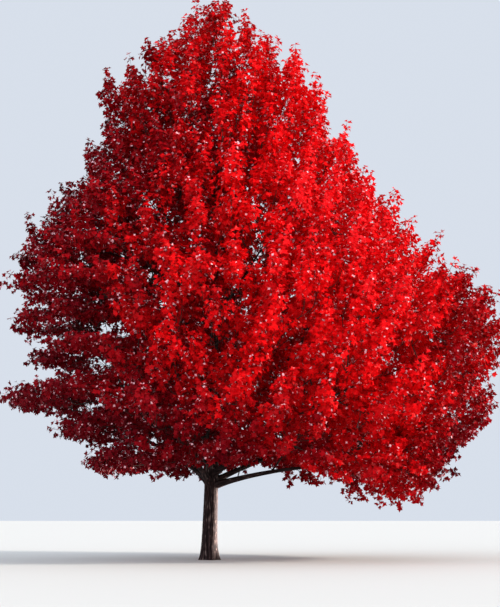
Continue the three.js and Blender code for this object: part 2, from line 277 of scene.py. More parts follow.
# %% [markdown]
# ## Boughs, and the space of each mass of leaves
#
# Maple boughs leave the trunk in a rising spiral. Each one here is a single quadratic curve from the
# trunk's axis to the crown's edge: the low ones arch over, the high ones sweep up. The first part of
# the curve is the bare bough and the rest is the stem of its mass of leaves. A mass keeps to the space
# that is nearer to its own middle than to any other, as real boughs shade each other out.

# %% Bough curves
BOUGHS = 26
FIRST_AZIMUTH = -0.35
LOWEST_POLE = 1.65
HIGHEST_POLE = 9.05
POLE_STEPS = 200
LOWEST_BOUGH = 1.23
HIGHEST_BOUGH = 7.5
FOOT_POWER = 2.3
ARCH_LOW = 0.13
ARCH_HIGH = -0.1
SPRAY_REACH = 0.98
END_INSIDE_LOW = 0.85
END_INSIDE_HIGH = 0.35
END_BELOW = 0.5
HANG_POWER = 3
SWING = 0.06
SWING_TURN = 3.1
POLE_TURN = 1000
BOUGH_TO_MASS = 0.42


def pole_heights(ranks):
    """Heights that share the crown's girth evenly: where the passed girth reaches each rank's share."""
    heights = mix(LOWEST_POLE, HIGHEST_POLE, (np.arange(POLE_STEPS) + 0.5) / POLE_STEPS)
    passed = np.cumsum(crown_reach(0, heights) + crown_reach(math.pi, heights))
    return heights[np.searchsorted(passed, passed[-1] * ranks)]


def bezier(curve, t):
    """(1-t)² of the start, 2t(1-t) of the middle and t² of the end, for curves (n, 3, 3) and t (m)."""
    t = np.asarray(t)[None, :, None]
    start, middle, end = curve[:, 0:1], curve[:, 1:2], curve[:, 2:3]
    return (1 - t) ** 2 * start + 2 * t * (1 - t) * middle + t * t * end


def bough_curves():
    """Start on the trunk, end inside the outline, and a middle raised by the arch and swung aside."""
    rank = (np.arange(BOUGHS) + 0.5) / BOUGHS
    azimuth = FIRST_AZIMUTH + np.arange(BOUGHS) * GOLDEN_ANGLE
    pole = pole_heights(rank)
    climb = (pole - LOWEST_POLE) / (HIGHEST_POLE - LOWEST_POLE)
    reach = crown_reach(azimuth, pole) - SPRAY_REACH * mix(END_INSIDE_LOW, END_INSIDE_HIGH, climb)
    outward = leaning(azimuth, np.zeros(BOUGHS))
    end = trunk_axis(pole) + outward * reach[:, None]
    hanging = CROWN_BASE - crown_floor(azimuth, reach)
    end[:, 2] -= SPRAY_REACH * END_BELOW * climb + hanging * (1 - climb) ** HANG_POWER
    start = trunk_axis(mix(LOWEST_BOUGH, HIGHEST_BOUGH, rank ** FOOT_POWER))
    middle = (start + end) / 2
    middle[:, 2] += np.linalg.norm(start - end, axis=1) * mix(ARCH_LOW, ARCH_HIGH, climb)
    swing = SWING * reach * np.sin(SWING_TURN * azimuth + POLE_TURN * pole)
    middle += np.cross(UP, outward) * swing[:, None]
    return np.stack([start, middle, end], 1)


curves = bough_curves()
print("bough feet from", curves[:, 0, 2].min().round(2), "to", curves[:, 0, 2].max().round(2), "m")

# %% Stems and the spaces of the masses
STEM_RINGS = 14
SITE_SHARE = 0.74
TOP_SITE_SHARE = 0.45
TOP_STEM_END = 0.53

bough_stems = bezier(curves, np.linspace(BOUGH_TO_MASS, 1, STEM_RINGS))
top_stem = trunk_axis(np.linspace(LEADER_TOP, HEIGHT - TOP_STEM_END, STEM_RINGS))
stems = np.concatenate([bough_stems, top_stem[None]])
top_site = trunk_axis(mix(LEADER_TOP, HEIGHT, TOP_SITE_SHARE))
sites = np.concatenate([bezier(curves, [SITE_SHARE])[:, 0], top_site[None]])
MASSES = len(sites)


def owners(points):
    """The mass that each point belongs to: the one with the nearest site."""
    return np.linalg.norm(points[..., None, :] - sites, axis=-1).argmin(-1)


print("masses", MASSES, "stems from", stems[..., 2].min().round(2), "m up")

# %% [markdown]
# ## Colours and nodes
#
# Colours are written as the sRGB hex values a paint chart would give, and turned to the linear values
# that light adds up in. One function adds a node with its settings and links, so that a finish reads
# as a list of what it is made of.

# %% Colour and node helpers
def linear(hex_colour):
    """sRGB to linear: the low end divided by 12.92, the rest ((c + 0.055) / 1.055) to the power 2.4."""
    value = np.array([int(hex_colour[i:i + 2], 16) for i in (1, 3, 5)]) / 255
    return (*np.where(value <= 0.04045, value / 12.92, ((value + 0.055) / 1.055) ** 2.4), 1.0)


def add_node(material, kind, settings=None, inputs=None, links=None):
    """One node of a kind, with its own settings, its sockets' values, and links from other nodes' sockets."""
    node = material.node_tree.nodes.new(kind)
    for name, value in (settings or {}).items():
        setattr(node, name, value)
    for name, value in (inputs or {}).items():
        node.inputs[name].default_value = value
    for name, (source, output) in (links or {}).items():
        material.node_tree.links.new(source.outputs[output], node.inputs[name])
    return node


def new_material(name):
    """An empty node material."""
    material = bpy.data.materials.new(name)
    material.use_nodes = True
    material.node_tree.nodes.clear()
    return material


def colour_steps(node, steps):
    """Gives a colour ramp its stops, as pairs of a place and a hex colour."""
    ramp = node.color_ramp
    while len(ramp.elements) < len(steps):
        ramp.elements.new(0.5)
    for stop, (place, colour) in zip(ramp.elements, steps):
        stop.position = place
        stop.color = linear(colour)


print("mid red in linear:", [round(float(c), 3) for c in linear("#A90E17")])

# %% [markdown]
# ## Bark
#
# The bark of a red maple of this age is a dull purplish grey-brown and has begun to split into narrow
# upright ridges. Weathered ridge tops are pale and dusty, and the furrows between them are near black:
# partly the bark's own dark colour, partly painted shade in the furrows. All its colours are kept dark,
# partly as painted shade under the crown. The ridges are real relief in the mesh, and the finish reads
# how high each point stands on them. Finer grain, too small for the mesh, comes from stretched noise
# that also drives a bump. Dry bark has hardly any gloss, so its specular level is set low. Up in the
# crown, young wood is smoother and its finish is painted darker, as the shade inside the crown; that
# finish has the same make-up with less contrast.

# %% Bark finishes
STREAK_STRETCH = 0.16
STREAK_RELIEF = 0.55
STREAK_SINK = -0.27
PATCH_FROM = 0.48
PATCH_TO = 0.68
PATCH_MOST = 0.5
BUMP_STRENGTH = 0.8
DRY_GLOSS = 0.12


def bark_finish(name, steps, streak_mm, patch_mm, tint, roughness, bump_mm):
    """Furrow-to-ridge colours by relief, dark furrows partly painted shade, upright streaks and broad patches
    by noise, and a fine bump.
    """
    material = new_material(name)
    place = add_node(material, "ShaderNodeTexCoord")
    relief = add_node(material, "ShaderNodeAttribute", {"attribute_name": "relief"})
    upright = add_node(material, "ShaderNodeMapping", inputs={"Scale": (1, 1, STREAK_STRETCH)},
                       links={"Vector": (place, "Object")})
    streaks = add_node(material, "ShaderNodeTexNoise",
                       inputs={"Scale": 1000 / streak_mm, "Detail": 5, "Roughness": 0.6},
                       links={"Vector": (upright, "Vector")})
    patches = add_node(material, "ShaderNodeTexNoise", inputs={"Scale": 1000 / patch_mm, "Detail": 3},
                       links={"Vector": (place, "Object")})
    height = add_node(material, "ShaderNodeMath", {"operation": "MULTIPLY_ADD"},
                      {1: STREAK_RELIEF, 2: STREAK_SINK}, {0: (streaks, "Fac")})
    level = add_node(material, "ShaderNodeMath", {"operation": "ADD", "use_clamp": True},
                     links={0: (relief, "Fac"), 1: (height, "Value")})
    ramp = add_node(material, "ShaderNodeValToRGB", links={"Fac": (level, "Value")})
    colour_steps(ramp, steps)
    share = add_node(material, "ShaderNodeMapRange",
                     inputs={"From Min": PATCH_FROM, "From Max": PATCH_TO, "To Max": PATCH_MOST},
                     links={"Value": (patches, "Fac")})
    weathered = add_node(material, "ShaderNodeMix", {"data_type": "RGBA"}, {"B": linear(tint)},
                         {"Factor": (share, "Result"), "A": (ramp, "Color")})
    bump = add_node(material, "ShaderNodeBump",
                    inputs={"Strength": BUMP_STRENGTH, "Distance": bump_mm / 1000},
                    links={"Height": (streaks, "Fac")})
    shader = add_node(material, "ShaderNodeBsdfPrincipled",
                      inputs={"Roughness": roughness, "Specular IOR Level": DRY_GLOSS},
                      links={"Base Color": (weathered, "Result"), "Normal": (bump, "Normal")})
    add_node(material, "ShaderNodeOutputMaterial", links={"Surface": (shader, "BSDF")})
    return material


# Ridged bark, weathered by rain and sun: the eye sees dark upright furrows, partly painted shade, between
# dusty grey ridges.
ridged_painted_shade_bark = bark_finish(
    "ridged grey-brown maple bark, weathered",
    # The near-black furrow end of these steps, and their low level overall, are partly painted shade.
    [(0.0, "#0A0505"), (0.4, "#1A1010"), (0.75, "#3C2D2D"), (1.0, "#928078")],
    streak_mm=9, patch_mm=140, tint="#2C2122", roughness=0.88, bump_mm=4)
# Young bark is tight and smooth: the eye sees dark grey-brown limbs with faint streaks, their darkness
# painted shade of the crown's inside.
young_painted_shade_bark = bark_finish(
    "young maple bark, smooth, darkened as painted shade",
    # These steps are kept dark as painted shade of the limbs inside the crown.
    [(0.0, "#140F0E"), (0.4, "#261C1A"), (0.8, "#3E322E"), (1.0, "#5E504A")],
    streak_mm=6, patch_mm=90, tint="#4E453F", roughness=0.8, bump_mm=2)
print("bark finishes:", ridged_painted_shade_bark.name, "|", young_painted_shade_bark.name)

# %% [markdown]
# ## The trunk
#
# The trunk is the one place where the tree is seen up close, so its relief is in the mesh: a grid of
# compass angle against height, whose radius is the plan's radius plus the bark. The bark's ridges are
# the absolute value of a sine round the trunk, whose phase wanders with two slow seeded noises, so that
# ridges run upright, part and meet again. A third noise breaks them into plates.

# %% The pattern of the bark
NOISE_ROWS = 256
# How far each noise moves the ridges, its columns round the trunk, its spacing in plates, and its seed.
WANDERS = [(3.0, 9, 2.6, 3), (1.2, 21, 1.0, 4)]
WANDER_TURN = 1.6
RIDGE_POWER = 0.65
PLATE_SPACING = 0.45
PLATE_SEED = 5
PLATE_LEAST = 0.45


def lattice_noise(angle, z, columns, spacing, seed):
    """Values dealt to a lattice round the trunk and up it, blended by soft steps between its corners."""
    table = np.random.default_rng(seed).random((NOISE_ROWS, columns))
    across = (angle / FULL_TURN % 1) * columns
    upward = np.abs(z) / spacing
    column, row = np.floor(across).astype(int), np.floor(upward).astype(int)
    right, above = smooth(0, 1, across - column), smooth(0, 1, upward - row)
    here, beyond = column % columns, (column + 1) % columns
    low, high = (mix(table[line % NOISE_ROWS, here], table[line % NOISE_ROWS, beyond], right)
                 for line in (row, row + 1))
    return mix(low, high, above)


def bark_relief(angle, z, pairs, plate):
    """Ridges: the sine of some turns round, its phase wandering by noise, made broad, cut into plates."""
    wander = sum(strength * lattice_noise(angle, z, columns, plate * spacing, seed)
                 for strength, columns, spacing, seed in WANDERS)
    ridge = np.abs(np.sin(pairs * angle + wander * WANDER_TURN)) ** RIDGE_POWER
    broken = lattice_noise(angle, z, pairs * 2, plate * PLATE_SPACING, PLATE_SEED)
    return ridge * mix(PLATE_LEAST, 1.0, broken)


print("bark relief at four places:", bark_relief(np.arange(4.0), np.ones(4), 11, 0.1).round(2))

# %% Trunk mesh
TRUNK_SIDES = 120
TRUNK_RINGS = 180
TRUNK_RING_POWER = 1.6
BUTTRESSES = 5
BUTTRESS_SHARE = 0.13
BUTTRESS_TURN = 0.6
# Real ridges are 15 to 25 mm wide. These are about 35 mm a metre up, or none would show from afar.
RIDGE_PAIRS = 11
RIDGE_DEPTH = 0.0065
RIDGE_DEPTH_AT_TOP = 0.25
TRUNK_PLATE = 0.1
RELIEF_LEVEL = 0.6
SMOOTH_RELIEF = 0.5


def trunk_mesh():
    """Rings level with the ground, whose radius is the plan, the buttresses and the bark added up."""
    z = LEADER_TOP * np.linspace(0, 1, TRUNK_RINGS) ** TRUNK_RING_POWER
    turn, height = np.meshgrid(evenly_round(TRUNK_SIDES), z)
    relief = bark_relief(turn, height, RIDGE_PAIRS, TRUNK_PLATE)
    swell = 1 + BUTTRESS_SHARE * np.exp(-height / FLARE_HEIGHT) * np.cos(BUTTRESSES * turn + BUTTRESS_TURN)
    depth = RIDGE_DEPTH * mix(1, RIDGE_DEPTH_AT_TOP, height / LEADER_TOP)
    radius = trunk_radius(height) * swell + (relief - RELIEF_LEVEL) * depth
    ring = np.stack([np.cos(turn), np.sin(turn), np.zeros_like(turn)], -1)
    walls = trunk_axis(z)[:, None] + ring * radius[..., None]
    tip = trunk_axis(LEADER_TOP)[None] + UP * LEADER_TIP_RADIUS
    corners = np.concatenate([walls.reshape(-1, 3), tip])
    return corners, limb_triangles(TRUNK_RINGS, TRUNK_SIDES), np.append(relief.ravel(), SMOOTH_RELIEF)


corners, triangles, relief = trunk_mesh()
trunk = triangle_mesh("trunk_bark", corners, triangles, ridged_painted_shade_bark, True, relief)
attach(trunk, "root")
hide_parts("trunk")

# %% [markdown]
# ## The boughs
#
# A bough swells into a collar where it leaves the trunk, because the trunk's wood grows round its
# foot. It is the same ring-along-a-path as any limb, with the collar added to its radius and bark
# relief that is shallower than the trunk's. The path starts on the trunk's axis, inside the wood, so
# no gap can show.

# %% Bough meshes
BOUGH_SIDES = 18
BOUGH_RINGS = 28
BOUGH_SHARE = 0.4
BOUGH_LEAST = 0.004
BOUGH_TAPER = 0.5
COLLAR = 0.45
COLLAR_LENGTH = 0.16
BOUGH_BARK_LENGTH = 2.2
BOUGH_BARK_STEP = 2.9
BOUGH_RIDGE_PAIRS = 5
BOUGH_PLATE = 0.12
BOUGH_RIDGE_SHARE = 0.07


def bough_foot_radius():
    """Each bough's radius at its foot: a share of the trunk's radius there, plus a little."""
    return BOUGH_SHARE * trunk_radius(curves[:, 0, 2]) + BOUGH_LEAST


def bough_meshes():
    """Rings along the first part of each curve: a straight taper, a collar and the bark's relief."""
    paths = bezier(curves, np.linspace(0, BOUGH_TO_MASS, BOUGH_RINGS))
    taper = bough_foot_radius()[:, None] * np.linspace(1, BOUGH_TAPER, BOUGH_RINGS)
    outside = np.linalg.norm(paths - paths[:, :1], axis=2) - trunk_radius(curves[:, 0, 2])[:, None]
    radii = taper * (1 + COLLAR * np.exp(-np.maximum(outside, 0) / COLLAR_LENGTH))
    corners, triangles = limbs_along(paths, radii, BOUGH_SIDES)
    grid = corners.reshape(BOUGHS, -1, 3)
    walls = grid[:, :-1].reshape(BOUGHS, BOUGH_RINGS, BOUGH_SIDES, 3)
    length = np.linspace(0, BOUGH_BARK_LENGTH, BOUGH_RINGS)[None, :, None]
    length = length + np.arange(BOUGHS)[:, None, None] * BOUGH_BARK_STEP
    turn, length = np.broadcast_arrays(evenly_round(BOUGH_SIDES), length)
    relief = bark_relief(turn, length, BOUGH_RIDGE_PAIRS, BOUGH_PLATE)
    outward = unit(walls - paths[:, :, None])
    walls += outward * ((relief - RELIEF_LEVEL) * radii[:, :, None] * BOUGH_RIDGE_SHARE)[..., None]
    values = np.concatenate([relief.reshape(BOUGHS, -1), np.full((BOUGHS, 1), SMOOTH_RELIEF)], 1)
    return corners, triangles, values.ravel()


corners, triangles, relief = bough_meshes()
boughs = triangle_mesh("boughs_bark", corners, triangles, ridged_painted_shade_bark, True, relief)
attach(boughs, "root")
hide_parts(*bough_nodes)

# %% [markdown]
# ## Limbs of each mass
#
# From the stem of each mass, side limbs leave in a spiral, each turned by the golden angle from the
# last, which is how a shoot keeps its leaves out of each other's shade. The rule is the one that the
# solids' twigs follow: a heading between along and across the stem, lifted a little, and the longest
# length whose end still lies in the mass's own space.

# %% Side limbs by the solids' rule
SIDE_LIMBS = 7
FIRST_LIMB = 0.1
LAST_LIMB = 0.8
LIMB_ANGLE = 1.0
LIMB_LIFT = 0.3
LONGEST_LIMB = 1.1
LIMB_SHORTENING = 0.82
LIMB_TRIES = 6
LIMB_LENGTHS = LONGEST_LIMB * LIMB_SHORTENING ** np.arange(LIMB_TRIES)
LIMB_ROOM = 0.44
LIMB_BEND_ALONG = 0.3
LIMB_BEND_HEADING = 0.75
SIDE_LIMB_RINGS = 6
NEARLY_UP = UP + np.array([0.02, 0, 0])


def side_limbs():
    """Paths of the side limbs, and the mass of each: foot on the stem, heading by the spiral, bent up."""
    share = np.linspace(FIRST_LIMB, LAST_LIMB, SIDE_LIMBS)
    ring = share * (STEM_RINGS - 1)
    below = np.floor(ring).astype(int)
    foot = mix(stems[:, below], stems[:, below + 1], (ring - below)[:, None])
    along = unit(stems[:, below + 1] - stems[:, below])
    level = unit(np.cross(along, NEARLY_UP))
    spin = np.arange(SIDE_LIMBS) * GOLDEN_ANGLE + chance.random((MASSES, SIDE_LIMBS))
    sideways = turned(level, along, spin)
    heading = unit(along * math.cos(LIMB_ANGLE) + sideways * math.sin(LIMB_ANGLE) + UP * LIMB_LIFT)
    room = foot[..., None, :] + heading[..., None, :] * (LIMB_LENGTHS + LIMB_ROOM)[:, None]
    fits = in_crown(room) & (owners(room) == np.arange(MASSES)[:, None, None])
    length = LIMB_LENGTHS[fits.argmax(-1)]
    end = foot + heading * length[..., None]
    bend = along * LIMB_BEND_ALONG + heading * LIMB_BEND_HEADING
    middle = foot + bend * (length * 0.5)[..., None]
    curve = np.stack([foot, middle, end], 2)[fits.any(-1)]
    mass = np.nonzero(fits.any(-1))[0]
    return bezier(curve, np.linspace(0, 1, SIDE_LIMB_RINGS)), mass


limb_paths, limb_mass = side_limbs()
print("side limbs", len(limb_paths))

# %% [markdown]
# ## How far the tufts reach
#
# Seen from a few steps away, the crown is made of tufts like flames, about a metre long, that all fan
# out and up from the foot of the crown. The solids' leaves are large, so their outline runs wide. Real
# sprays end a little inside it, and this second table says where. A skirt hangs lower on the right, the
# floor is lower on the shaded left too, and next to the trunk the boughs are bare.

# %% The tips' outline and floor
TIP_OUTLINE = np.array([
    [0.70, 0.00, 3.50], [1.05, 0.80, 4.00], [1.30, 1.80, 4.30], [1.80, 2.45, 4.30], [2.05, 2.90, 4.35],
    [2.25, 2.95, 4.55], [2.40, 2.60, 4.80], [2.50, 3.65, 4.95], [2.76, 3.70, 5.00], [2.86, 2.60, 5.05],
    [3.28, 2.70, 5.05], [3.42, 3.40, 5.05], [4.40, 3.75, 5.05], [4.75, 3.80, 4.70], [5.00, 3.65, 4.10],
    [5.50, 3.45, 3.30], [6.00, 3.20, 3.35], [6.60, 2.52, 2.80], [7.40, 2.12, 2.25], [8.20, 2.05, 1.72],
    [8.80, 1.85, 1.45], [9.10, 1.10, 1.05], [9.35, 0.70, 0.65], [9.65, 0.70, 0.45], [9.90, 0.60, 0.32],
    [10.10, 0.15, 0.10],
])
TIP_FLOOR = 1.63
TIP_SKIRT = 1.0
SKIRT_START = (3.1, 3.6)
SKIRT_END = (3.3, 4.5)
SKIRT_RISE = 0.46
SHADE_DROP = 0.3
BARE_HEIGHT = 0.4
BARE_FADE = (0.6, 1.4)


def tip_place(points):
    """How far inside the tips' outline a point is, its height above their floor, and its distance out."""
    azimuth, distance = round_trunk(points)
    skirt = TIP_SKIRT * np.maximum(0, np.cos(azimuth)) * smooth(*SKIRT_START, distance)
    skirt = skirt * (1 - SKIRT_RISE * smooth(*SKIRT_END, distance))
    shaded = SHADE_DROP * np.maximum(0, -np.cos(azimuth))
    bare = BARE_HEIGHT * (1 - smooth(*BARE_FADE, distance))
    depth = crown_reach(azimuth, points[..., 2], TIP_OUTLINE) - distance
    return depth, points[..., 2] - TIP_FLOOR + skirt + shaded - bare, distance


print("the tips reach", *TIP_OUTLINE[:, 1:].max(0), "m to the left and to the right")

# %% [markdown]
# ## Level tiers on the shaded side
#
# Shaded boughs hold their leaves flat, in tiers with open air between them, to catch what light there
# is. So on the left of the crown the tufts' ends are allowed only in layers: a cosine of the height,
# which droops outwards, has to be near its crest. The rule fades out towards the sun and higher up.

# %% Tiers
TIER_BASE = 0.2
TIER_HEIGHT = 0.6
TIER_TOP = (5.0, 5.8)
TIER_SIDE = (0.1, 0.7)
TIER_EDGE = 0.72
TIER_DROOP = 0.12
NEAR_AXIS = 0.1


def tier_share(points):
    """1 on the shaded left, where the sprays lie in level tiers, falling to 0 to the right and high up."""
    leftward = -points[:, 0] / np.maximum(np.hypot(points[:, 0], points[:, 1]), NEAR_AXIS)
    return smooth(*TIER_SIDE, leftward) * (1 - smooth(*TIER_TOP, points[:, 2]))


def in_tier(points):
    """True within the tiers, a cosine of the height that droops outwards, and where there are none."""
    height = points[:, 2] + TIER_DROOP * np.hypot(points[:, 0], points[:, 1]) - TIER_BASE
    layer = 0.5 + 0.5 * np.cos(FULL_TURN * height / TIER_HEIGHT)
    return layer > TIER_EDGE * tier_share(points)


print("tiers are", TIER_HEIGHT, "m apart")

# %% [markdown]
# ## Even points for the tufts
#
# The tufts' ends must be spread evenly over the crown's skin, or it looks patchy. Random points near
# the skin are taken one by one, and each one that is taken clears its neighbourhood of others. The
# plumes that stand out furthest come first, so that the others keep clear of them. A second, inner
# layer closes the crown behind the first.

# %% Where the tufts end
CANDIDATES = 120000
CANDIDATES_LOW = np.array([-4.0, -4.6, 0.8])
CANDIDATES_HIGH = np.array([5.4, 4.6, HEIGHT])
TOP_TIP = 10.08
# The plumes that stand out furthest to the left and to the right: how far across and how high each ends.
SPIRES = np.array([
    [-0.51, 9.61], [-0.86, 9.09], [-1.49, 8.97], [-1.82, 8.53], [-1.88, 7.92], [-2.14, 7.25], [-2.65, 6.58],
    [-3.16, 5.93], [-3.50, 5.27], [0.60, 9.59], [1.01, 9.33], [1.49, 8.97], [1.88, 8.62], [2.39, 7.56],
    [2.73, 6.88], [3.22, 6.34], [3.58, 5.96], [4.01, 5.61], [4.47, 5.00], [4.83, 4.61],
])
SPIRE_BACK = 0.25
SKIN_DEPTH = 0.45
SKIN_SPACING = 0.53
FLOOR_DEPTH = 0.25
BARE_REACH = 1.0
INNER_DEPTH = (0.6, 3.4)
INNER_SPACING = (0.64, 0.76)
INNER_REACH = 0.4
HIGH_UP = (5.0, 8.0)
HIGH_SPACING = 0.84
TIER_DEPTH = 1.5


def evenly_thinned(points, spacing, taken):
    """Keeps the first point left, drops all within their spacing of it, and goes on until none is left."""
    left = np.ones(len(points), bool)
    for point in taken:
        left &= np.sum((points - point) ** 2, axis=1) > spacing ** 2
    kept = []
    for number in range(len(points)):
        if left[number]:
            kept.append(number)
            left &= np.sum((points - points[number]) ** 2, axis=1) > spacing ** 2
    return points[kept]


def foremost_tips():
    """The top point and the spires, which stand in turn a little behind and before the trunk."""
    back = SPIRE_BACK * (-1) ** np.arange(len(SPIRES))
    spires = np.stack([SPIRES[:, 0], back, SPIRES[:, 1]], 1)
    return np.concatenate([trunk_axis(np.array([TOP_TIP])), spires])


def tuft_points():
    """The foremost tips, even points in the crown's skin and above its floor, and an inner layer."""
    points = mix(CANDIDATES_LOW, CANDIDATES_HIGH, chance.random((CANDIDATES, 3)))
    depth, above, distance = tip_place(points)
    closer = mix(1, HIGH_SPACING, smooth(*HIGH_UP, points[:, 2]))
    near_skin = (depth > 0) & (depth < SKIN_DEPTH) & (above > 0) & in_tier(points)
    near_floor = (depth > 0) & (above > 0) & (above < FLOOR_DEPTH) & (distance > BARE_REACH)
    skin = near_skin | near_floor
    first = foremost_tips()
    outer = evenly_thinned(points[skin], SKIN_SPACING * closer[skin], first)
    outer = np.concatenate([first, outer])
    inside = (depth > INNER_DEPTH[0]) & (depth < INNER_DEPTH[1])
    inside &= (above > FLOOR_DEPTH) & (distance > INNER_REACH)
    inside &= in_tier(points) | (depth > TIER_DEPTH)
    spacing = mix(*INNER_SPACING, smooth(*INNER_DEPTH, depth[inside]))
    inner = evenly_thinned(points[inside], spacing * closer[inside], outer)
    return np.concatenate([outer, inner]), len(outer)


tuft_tips, OUTER_TUFTS = tuft_points()
TUFTS = len(tuft_tips)
print("tufts", TUFTS, "outer", OUTER_TUFTS)

# %% [markdown]
# ## Heading and length of each tuft
#
# All tufts point away from one place near the foot of the crown, lifted towards the light, and the
# inner ones stray more. In the tiers they lie level. A foot that would hang below the crown's floor is
# raised. The leaves of the inner tufts are larger, as shade leaves are, which also closes the crown.

# %% Feet of the tufts
TUFT_SOURCE = np.array([0.1, 0.0, 1.1])
TUFT_LIFT = 0.34
OUTER_CHANCE = 0.13
INNER_CHANCE = 0.42
TUFT_LENGTH = (0.85, 1.3)
TUFT_LEAST = 0.5
TUFT_ROOM = 0.75
TIER_RISE = 0.02
FOOT_ABOVE = 0.15
SHADE_GROWTH = 1.25


def no_steeper(arrows, rise):
    """Turns arrows down, each in its own compass direction, until none climbs more than its rise."""
    climb = np.minimum(arrows[:, 2], rise)[:, None]
    level = unit(arrows * (1 - UP))
    return level * np.sqrt(1 - climb ** 2) + UP * climb


is_outer = np.arange(TUFTS) < OUTER_TUFTS
straying = chance.normal(0, 1, (TUFTS, 3)) * np.where(is_outer, OUTER_CHANCE, INNER_CHANCE)[:, None]
tuft_heading = unit(unit(tuft_tips - TUFT_SOURCE) + UP * TUFT_LIFT + straying)
tuft_length = mix(*TUFT_LENGTH, chance.random(TUFTS))
tuft_room = np.maximum(tip_place(tuft_tips)[2], tuft_tips[:, 2] - LOWEST_BOUGH) * TUFT_ROOM
tuft_length = np.minimum(tuft_length, np.maximum(tuft_room, TUFT_LEAST))
tuft_heading = no_steeper(tuft_heading, mix(1, TIER_RISE, tier_share(tuft_tips)))
tuft_feet = tuft_tips - tuft_heading * tuft_length[:, None]
tuft_feet[:, 2] += np.maximum(0, FOOT_ABOVE - tip_place(tuft_feet)[1])
tuft_heading = unit(tuft_tips - tuft_feet)
tuft_growth = np.where(is_outer, 1, SHADE_GROWTH)
tuft_mass = owners(mix(tuft_feet, tuft_tips, 0.5))
print("tufts in each mass", np.bincount(tuft_mass, minlength=MASSES).tolist())

# %% [markdown]
# ## Joining every tuft to its limb
#
# A twig grows from the nearest wood that is already there and points roughly its way. The tufts of a
# mass are taken in order, nearest to the stem first, and each one picks the wood with the least cost:
# the distance, more for each turn that it would have to make where it leaves the wood and where it
# meets the tuft, and a share of the way already grown, which keeps sap paths short. Its own wood can
# then carry later ones. The thickness follows from how many tufts each stretch feeds, by the painter's
# rule that the limbs above a fork have together the cross-section of the one below.

# %% Wood that is already there
BARE_RINGS = 6
BARE_FROM = 0.12
BARE_LEADER = 1.2

bare_boughs = bezier(curves, np.linspace(BARE_FROM, BOUGH_TO_MASS, BARE_RINGS, endpoint=False))
bare_leader = trunk_axis(np.linspace(LEADER_TOP - BARE_LEADER, LEADER_TOP, BARE_RINGS, endpoint=False))
carriers = np.concatenate([np.concatenate([bare_boughs, bare_leader[None]]), stems], 1)
CARRIER_RINGS = BARE_RINGS + STEM_RINGS


def first_wood(mass):
    """Places and parents along the wood of a mass's bough, its stem and its side limbs."""
    stem = carriers[mass]
    places, parents = [stem], [np.maximum(np.arange(CARRIER_RINGS) - 1, 0)]
    for path in limb_paths[limb_mass == mass]:
        start = sum(len(group) for group in places)
        nearest = np.linalg.norm(stem - path[0], axis=1).argmin()
        places.append(path[1:])
        parents.append(np.append(nearest, start + np.arange(SIDE_LIMB_RINGS - 2)))
    return np.concatenate(places), np.concatenate(parents)


print("places that can carry a tuft in the first mass:", len(first_wood(0)[0]))

# %% Joining one tuft
JOIN_STEPS = 5
TURN_COST = 0.8
WAY_COST = 0.2
LEAVING_SHARE = 0.14
TOWARD_SHARE = 2
ARRIVING_SHARE = 0.25
TINY = 1e-6


def cheapest_wood(places, directions, ways, foot, heading):
    """The wood with the least cost of distance, of turning at either end and of way already grown."""
    away = foot - places
    distance = np.linalg.norm(away, axis=1)
    forward = np.sum(away * (directions + heading), axis=1) / np.maximum(distance, TINY)
    root = int((distance * (1 + TURN_COST * (2 - forward)) + WAY_COST * ways).argmin())
    return root, distance[root]


def joining_path(start, direction, foot, heading, length):
    """A cubic curve that leaves one part along the wood and two towards the foot, and arrives on heading."""
    toward = (foot - start) / max(length, TINY)
    first = start + (direction + TOWARD_SHARE * toward) * length * LEAVING_SHARE
    second = foot - heading * length * ARRIVING_SHARE
    t = (np.arange(JOIN_STEPS + 1) / JOIN_STEPS)[:, None]
    return ((1 - t) ** 3 * start + 3 * t * (1 - t) ** 2 * first
            + 3 * t * t * (1 - t) * second + t ** 3 * foot)


print("a join a metre long, halfway:", joining_path(UP * 0, UP, UP, UP, 1.0)[2:4, 2].round(2))

# %% Growing the tufts' limbs
TUFT_RADIUS = 0.006
LEAST_FED = 0.3


def grown_limbs(mass, chosen):
    """Joins the chosen tufts to the mass's wood. Gives their order, paths, wood numbers and tufts fed."""
    places, parents = first_wood(mass)
    ways = np.zeros(len(places))
    for number in range(1, len(places)):
        ways[number] = ways[parents[number]] + np.linalg.norm(places[number] - places[parents[number]])
    directions = unit(places - places[parents] + TINY * UP)
    directions[0] = directions[1]
    order = chosen[np.argsort(np.linalg.norm(tuft_feet[chosen][:, None] - carriers[mass], axis=2).min(1))]
    paths, numbers = [], []
    for tuft in order:
        root, length = cheapest_wood(places, directions, ways, tuft_feet[tuft], tuft_heading[tuft])
        path = joining_path(places[root], directions[root], tuft_feet[tuft], tuft_heading[tuft], length)
        new = len(places) + np.arange(JOIN_STEPS)
        places = np.concatenate([places, path[1:]])
        parents = np.append(parents, np.append(root, new[:-1]))
        ways = np.append(ways, ways[root] + np.cumsum(np.linalg.norm(np.diff(path, axis=0), axis=1)))
        directions = np.concatenate([directions, unit(np.diff(path, axis=0))])
        paths.append(path)
        numbers.append(np.append(root, new))
    fed = np.zeros(len(places))
    fed[[row[-1] for row in numbers]] += 1
    for number in range(len(places) - 1, 0, -1):
        fed[parents[number]] += fed[number]
    return order, np.array(paths), np.array(numbers), fed


def thickness(fed):
    """Radius for the number of tufts that a stretch of wood feeds: one tuft's radius times the root."""
    return TUFT_RADIUS * np.maximum(fed, LEAST_FED) ** 0.5


